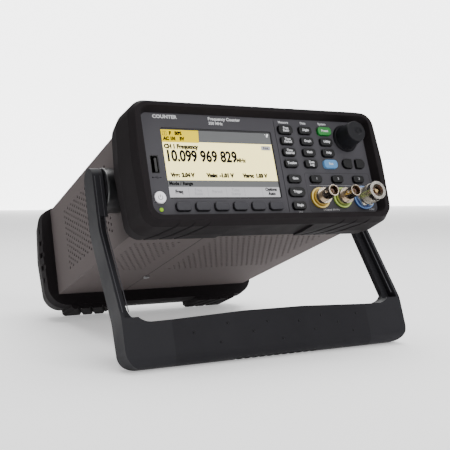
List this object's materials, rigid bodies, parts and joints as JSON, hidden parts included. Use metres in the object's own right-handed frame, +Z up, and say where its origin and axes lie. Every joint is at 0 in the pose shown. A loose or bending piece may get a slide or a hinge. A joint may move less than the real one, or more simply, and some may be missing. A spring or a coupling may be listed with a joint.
{
  "type": "frequency counter",
  "caption": "Bench frequency counter with display, keypad, rotary knob and three coaxial inputs, standing on its swinging carry handle.",
  "frame": {"origin": "middle of the footprint on the bench, under the counter as it stands on its handle", "axes": "+X to the right seen from the front, +Y to the rear, +Z up; the front panel faces -Y and leans back"},
  "size_m": [0.261, 0.3256, 0.2033],
  "materials": {
    "case_paint": "satin grey paint",
    "steel": "zinc plated sheet",
    "bumper_rubber": "matte rubber moulding",
    "panel_plastic": "fine texture",
    "window": "clear",
    "display": "lit display",
    "circuit_board": "solder mask",
    "handle_plastic": "fine texture",
    "grip_rubber": "soft overmould",
    "nickel": "nickel plate",
    "insulator": "white polymer",
    "gold_contact": "gold plate",
    "ring_yellow": "moulded",
    "ring_green": "moulded",
    "ring_blue": "moulded",
    "port_black": "moulded",
    "lamp_green": "lit lamp",
    "knob_plastic": "fine texture",
    "encoder_metal": "plain",
    "softkey_plastic": "fine texture",
    "key_plastic": "fine texture",
    "key_green": "lit key",
    "key_blue": "lit key",
    "power_white": "smooth"
  },
  "bodies": {
    "chassis": {"bnc_jacks": "nickel", "case_screws": "steel", "case_sleeve": "case_paint", "channel_1_ring": "ring_yellow", "channel_2_ring": "ring_green", "channel_3_ring": "ring_blue", "chassis_tray": "steel", "display_module": "display", "display_window": "window", "fan_frame": "port_black", "front_bumper": "bumper_rubber", "front_panel": "panel_plastic", "jack_contacts": "gold_contact", "jack_insulators": "insulator", "key_board": "circuit_board", "knob_encoder": "encoder_metal", "main_board": "circuit_board", "n_jack": "nickel", "pivot_hub_left": "handle_plastic", "pivot_hub_right": "handle_plastic", "power_inlet": "port_black", "power_supply_board": "circuit_board", "rear_bnc_jacks": "nickel", "rear_bumper": "bumper_rubber", "rear_data_ports": "port_black", "rear_panel": "steel", "status_lamp": "lamp_green", "usb_host_port": "port_black"},
    "handle": {"handle_frame": "handle_plastic", "handle_grip": "grip_rubber"},
    "knob": {"knob": "knob_plastic"},
    "fan_rotor": {"fan_rotor": "port_black"},
    "channel_key_1": {"channel_key_1": "key_plastic"},
    "channel_key_2": {"channel_key_2": "key_plastic"},
    "channel_key_3": {"channel_key_3": "key_plastic"},
    "key_arrow_left": {"key_arrow_left": "key_plastic"},
    "key_arrow_right": {"key_arrow_right": "key_plastic"},
    "key_counter": {"key_counter": "key_plastic"},
    "key_digits": {"key_digits": "key_plastic"},
    "key_filter": {"key_filter": "key_plastic"},
    "key_gate": {"key_gate": "key_plastic"},
    "key_graph": {"key_graph": "key_plastic"},
    "key_interval": {"key_interval": "key_plastic"},
    "key_limits": {"key_limits": "key_plastic"},
    "key_period": {"key_period": "key_plastic"},
    "key_preset": {"key_preset": "key_green"},
    "key_run": {"key_run": "key_blue"},
    "key_scale": {"key_scale": "key_plastic"},
    "key_single": {"key_single": "key_plastic"},
    "key_statistics": {"key_statistics": "key_plastic"},
    "key_trigger": {"key_trigger": "key_plastic"},
    "key_utility": {"key_utility": "key_plastic"},
    "power_button": {"power_button": "power_white"},
    "softkey_1": {"softkey_1": "softkey_plastic"},
    "softkey_2": {"softkey_2": "softkey_plastic"},
    "softkey_3": {"softkey_3": "softkey_plastic"},
    "softkey_4": {"softkey_4": "softkey_plastic"},
    "softkey_5": {"softkey_5": "softkey_plastic"},
    "softkey_6": {"softkey_6": "softkey_plastic"}
  },
  "joints": [
    {"name": "handle_swing", "type": "hinge", "parent": "chassis", "child": "handle", "pos_m": [0, -0.07149, 0.13302], "axis": [1, 0, 0], "range_deg": [-227, 74]},
    {"name": "knob_turn", "type": "hinge", "parent": "chassis", "child": "knob", "pos_m": [0.0852, -0.12678, 0.18049], "axis": [0, 0.9422, -0.3352], "continuous": true},
    {"name": "fan_spin", "type": "hinge", "parent": "chassis", "child": "fan_rotor", "pos_m": [0.066, 0.11445, 0.06793], "axis": [0, 0.9422, -0.3352], "continuous": true},
    {"name": "channel_key_1_press", "type": "slide", "parent": "chassis", "child": "channel_key_1", "axis": [0, 0.9422, -0.3352], "range_m": [0, 0.001], "stiffness_N_per_m": 900, "springref_m": -0.0006},
    {"name": "channel_key_2_press", "type": "slide", "parent": "chassis", "child": "channel_key_2", "axis": [0, 0.9422, -0.3352], "range_m": [0, 0.001], "stiffness_N_per_m": 900, "springref_m": -0.0006},
    {"name": "channel_key_3_press", "type": "slide", "parent": "chassis", "child": "channel_key_3", "axis": [0, 0.9422, -0.3352], "range_m": [0, 0.001], "stiffness_N_per_m": 900, "springref_m": -0.0006},
    {"name": "key_arrow_left_press", "type": "slide", "parent": "chassis", "child": "key_arrow_left", "axis": [0, 0.9422, -0.3352], "range_m": [0, 0.001], "stiffness_N_per_m": 900, "springref_m": -0.0006},
    {"name": "key_arrow_right_press", "type": "slide", "parent": "chassis", "child": "key_arrow_right", "axis": [0, 0.9422, -0.3352], "range_m": [0, 0.001], "stiffness_N_per_m": 900, "springref_m": -0.0006},
    {"name": "key_counter_press", "type": "slide", "parent": "chassis", "child": "key_counter", "axis": [0, 0.9422, -0.3352], "range_m": [0, 0.001], "stiffness_N_per_m": 900, "springref_m": -0.0006},
    {"name": "key_digits_press", "type": "slide", "parent": "chassis", "child": "key_digits", "axis": [0, 0.9422, -0.3352], "range_m": [0, 0.001], "stiffness_N_per_m": 900, "springref_m": -0.0006},
    {"name": "key_filter_press", "type": "slide", "parent": "chassis", "child": "key_filter", "axis": [0, 0.9422, -0.3352], "range_m": [0, 0.001], "stiffness_N_per_m": 900, "springref_m": -0.0006},
    {"name": "key_gate_press", "type": "slide", "parent": "chassis", "child": "key_gate", "axis": [0, 0.9422, -0.3352], "range_m": [0, 0.001], "stiffness_N_per_m": 900, "springref_m": -0.0006},
    {"name": "key_graph_press", "type": "slide", "parent": "chassis", "child": "key_graph", "axis": [0, 0.9422, -0.3352], "range_m": [0, 0.001], "stiffness_N_per_m": 900, "springref_m": -0.0006},
    {"name": "key_interval_press", "type": "slide", "parent": "chassis", "child": "key_interval", "axis": [0, 0.9422, -0.3352], "range_m": [0, 0.001], "stiffness_N_per_m": 900, "springref_m": -0.0006},
    {"name": "key_limits_press", "type": "slide", "parent": "chassis", "child": "key_limits", "axis": [0, 0.9422, -0.3352], "range_m": [0, 0.001], "stiffness_N_per_m": 900, "springref_m": -0.0006},
    {"name": "key_period_press", "type": "slide", "parent": "chassis", "child": "key_period", "axis": [0, 0.9422, -0.3352], "range_m": [0, 0.001], "stiffness_N_per_m": 900, "springref_m": -0.0006},
    {"name": "key_preset_press", "type": "slide", "parent": "chassis", "child": "key_preset", "axis": [0, 0.9422, -0.3352], "range_m": [0, 0.001], "stiffness_N_per_m": 900, "springref_m": -0.0006},
    {"name": "key_run_press", "type": "slide", "parent": "chassis", "child": "key_run", "axis": [0, 0.9422, -0.3352], "range_m": [0, 0.001], "stiffness_N_per_m": 900, "springref_m": -0.0006},
    {"name": "key_scale_press", "type": "slide", "parent": "chassis", "child": "key_scale", "axis": [0, 0.9422, -0.3352], "range_m": [0, 0.001], "stiffness_N_per_m": 900, "springref_m": -0.0006},
    {"name": "key_single_press", "type": "slide", "parent": "chassis", "child": "key_single", "axis": [0, 0.9422, -0.3352], "range_m": [0, 0.001], "stiffness_N_per_m": 900, "springref_m": -0.0006},
    {"name": "key_statistics_press", "type": "slide", "parent": "chassis", "child": "key_statistics", "axis": [0, 0.9422, -0.3352], "range_m": [0, 0.001], "stiffness_N_per_m": 900, "springref_m": -0.0006},
    {"name": "key_trigger_press", "type": "slide", "parent": "chassis", "child": "key_trigger", "axis": [0, 0.9422, -0.3352], "range_m": [0, 0.001], "stiffness_N_per_m": 900, "springref_m": -0.0006},
    {"name": "key_utility_press", "type": "slide", "parent": "chassis", "child": "key_utility", "axis": [0, 0.9422, -0.3352], "range_m": [0, 0.001], "stiffness_N_per_m": 900, "springref_m": -0.0006},
    {"name": "power_button_press", "type": "slide", "parent": "chassis", "child": "power_button", "axis": [0, 0.9422, -0.3352], "range_m": [0, 0.001], "stiffness_N_per_m": 900, "springref_m": -0.0006},
    {"name": "softkey_1_press", "type": "slide", "parent": "chassis", "child": "softkey_1", "axis": [0, 0.9422, -0.3352], "range_m": [0, 0.001], "stiffness_N_per_m": 900, "springref_m": -0.0006},
    {"name": "softkey_2_press", "type": "slide", "parent": "chassis", "child": "softkey_2", "axis": [0, 0.9422, -0.3352], "range_m": [0, 0.001], "stiffness_N_per_m": 900, "springref_m": -0.0006},
    {"name": "softkey_3_press", "type": "slide", "parent": "chassis", "child": "softkey_3", "axis": [0, 0.9422, -0.3352], "range_m": [0, 0.001], "stiffness_N_per_m": 900, "springref_m": -0.0006},
    {"name": "softkey_4_press", "type": "slide", "parent": "chassis", "child": "softkey_4", "axis": [0, 0.9422, -0.3352], "range_m": [0, 0.001], "stiffness_N_per_m": 900, "springref_m": -0.0006},
    {"name": "softkey_5_press", "type": "slide", "parent": "chassis", "child": "softkey_5", "axis": [0, 0.9422, -0.3352], "range_m": [0, 0.001], "stiffness_N_per_m": 900, "springref_m": -0.0006},
    {"name": "softkey_6_press", "type": "slide", "parent": "chassis", "child": "softkey_6", "axis": [0, 0.9422, -0.3352], "range_m": [0, 0.001], "stiffness_N_per_m": 900, "springref_m": -0.0006}
  ]
}
